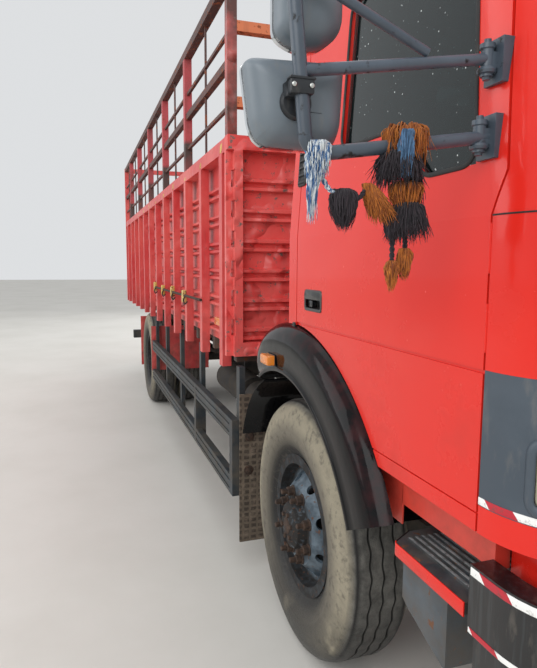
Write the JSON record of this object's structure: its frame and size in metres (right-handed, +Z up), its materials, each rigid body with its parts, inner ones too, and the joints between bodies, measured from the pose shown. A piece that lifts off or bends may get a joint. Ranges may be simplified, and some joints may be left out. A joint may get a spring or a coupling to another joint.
{
  "type": "two axle cab-over truck with a high sided cargo body",
  "caption": "Cab-over haulage truck with a ribbed high sided cargo body and rack, steered front wheels, twin rear wheels, opening cab and cargo doors and wool tassels on a mirror arm.",
  "frame": {"origin": "on the floor under the middle of the truck's length and width", "axes": "+X forward, +Y to the truck's left, +Z up"},
  "size_m": [8.57, 3.286, 3.05],
  "materials": {
    "chassis": "dusty satin black frame paint",
    "spring_steel": "rusty black spring leaves",
    "engine": "oily cast iron",
    "exhaust": "heat rusted sheet steel",
    "tank": "dusty black tank paint",
    "cab_paint": "glossy tomato red enamel",
    "glass": "tinted glass",
    "grey_plastic": "weathered grey moulding",
    "lamp_lens": "fluted clear lens",
    "black_plastic": "glossy black moulding",
    "amber_lens": "amber and red lens",
    "seat_cloth": "dark woven seat cloth",
    "trim": "grained dark interior moulding",
    "flap_rubber": "dusty brown rubber",
    "body_paint": "dull red body paint with rust",
    "rust_paint": "worn red and brown rusted tube",
    "guard_paint": "dusty blue grey guard paint",
    "floor_steel": "worn steel load floor",
    "black_steel": "satin black tube",
    "wool": "orange, black and blue wool yarn",
    "tyre": "dusty cracked tyre rubber",
    "wheel_paint": "dusty blue grey wheel paint"
  },
  "bodies": {
    "truck": {"frame_rails": "chassis", "frame_crossmembers": "chassis", "axles": "chassis", "leaf_springs": "spring_steel", "engine_block": "engine", "driveline": "engine", "silencer": "exhaust", "fuel_tank": "tank", "air_tanks": "tank", "cab_frame": "cab_paint", "cab_roof": "cab_paint", "cab_back_wall": "cab_paint", "cab_glass": "glass", "cab_front": "cab_paint", "front_band": "grey_plastic", "front_lamps": "lamp_lens", "cab_floor": "cab_paint", "front_fenders": "black_plastic", "marker_lamps": "amber_lens", "front_bumper": "black_plastic", "front_valance": "cab_paint", "entry_steps": "chassis", "seats": "seat_cloth", "dashboard": "trim", "steering_wheel": "trim", "mud_flaps": "flap_rubber", "rear_mudguards": "body_paint", "guard_rails": "guard_paint", "cargo_floor": "floor_steel", "side_panels": "body_paint", "side_posts": "body_paint", "headboard": "body_paint", "rear_frame": "body_paint", "rack_posts": "body_paint", "rack_rails": "rust_paint"},
    "cab_door_right": {"door_right": "cab_paint", "door_glass_right": "glass", "mirror_arms_right": "black_steel", "mirror_heads_right": "grey_plastic", "tassels": "wool"},
    "rear_leaf_right": {"cargo_door_right": "body_paint"},
    "steering_right": {"knuckle_right": "chassis"},
    "front_wheel_set_right": {"front_tyre_right": "tyre", "front_wheel_right": "wheel_paint"},
    "rear_wheel_set_right": {"rear_tyres_right": "tyre", "rear_wheels_right": "wheel_paint"},
    "cab_door_left": {"door_left": "cab_paint", "door_glass_left": "glass", "mirror_arms_left": "black_steel", "mirror_heads_left": "grey_plastic"},
    "rear_leaf_left": {"cargo_door_left": "body_paint"},
    "steering_left": {"knuckle_left": "chassis"},
    "front_wheel_set_left": {"front_tyre_left": "tyre", "front_wheel_left": "wheel_paint"},
    "rear_wheel_set_left": {"rear_tyres_left": "tyre", "rear_wheels_left": "wheel_paint"},
    "tie_rod": {"track_rod": "chassis"}
  },
  "joints": [
    {"name": "door_right_hinge", "type": "hinge", "parent": "truck", "child": "cab_door_right", "pos_m": [3.992, -1.15, 1.6], "axis": [0, 0, 1], "range_deg": [0, 68]},
    {"name": "door_left_hinge", "type": "hinge", "parent": "truck", "child": "cab_door_left", "pos_m": [3.992, 1.15, 1.6], "axis": [0, 0, -1], "range_deg": [0, 68]},
    {"name": "rear_leaf_right_hinge", "type": "hinge", "parent": "truck", "child": "rear_leaf_right", "pos_m": [-4.255, -1.184, 1.7], "axis": [0, 0, 1], "range_deg": [0, 180]},
    {"name": "rear_leaf_left_hinge", "type": "hinge", "parent": "truck", "child": "rear_leaf_left", "pos_m": [-4.255, 1.184, 1.7], "axis": [0, 0, -1], "range_deg": [0, 180]},
    {"name": "steer_right", "type": "hinge", "parent": "truck", "child": "steering_right", "pos_m": [2.785, -0.772, 0.527], "axis": [0, 0, 1], "range_deg": [-35, 35]},
    {"name": "steer_left", "type": "hinge", "parent": "truck", "child": "steering_left", "pos_m": [2.785, 0.772, 0.527], "axis": [0, 0, 1], "range_deg": [-35, 35]},
    {"name": "track_rod_pivot", "type": "hinge", "parent": "steering_right", "child": "tie_rod", "pos_m": [2.585, -0.772, 0.385], "axis": [0, 0, 1], "range_deg": [-35, 35]},
    {"name": "front_wheel_right_spin", "type": "hinge", "parent": "steering_right", "child": "front_wheel_set_right", "pos_m": [2.785, -0.966, 0.527], "axis": [0, 1, 0], "continuous": true},
    {"name": "rear_wheel_right_spin", "type": "hinge", "parent": "truck", "child": "rear_wheel_set_right", "pos_m": [-1.915, -0.871, 0.527], "axis": [0, 1, 0], "continuous": true},
    {"name": "front_wheel_left_spin", "type": "hinge", "parent": "steering_left", "child": "front_wheel_set_left", "pos_m": [2.785, 0.966, 0.527], "axis": [0, 1, 0], "continuous": true},
    {"name": "rear_wheel_left_spin", "type": "hinge", "parent": "truck", "child": "rear_wheel_set_left", "pos_m": [-1.915, 0.871, 0.527], "axis": [0, 1, 0], "continuous": true}
  ],
  "couplings": [
    {"joint": "steer_left", "follows": "steer_right", "ratio": 1},
    {"joint": "track_rod_pivot", "follows": "steer_right", "ratio": -1}
  ]
}
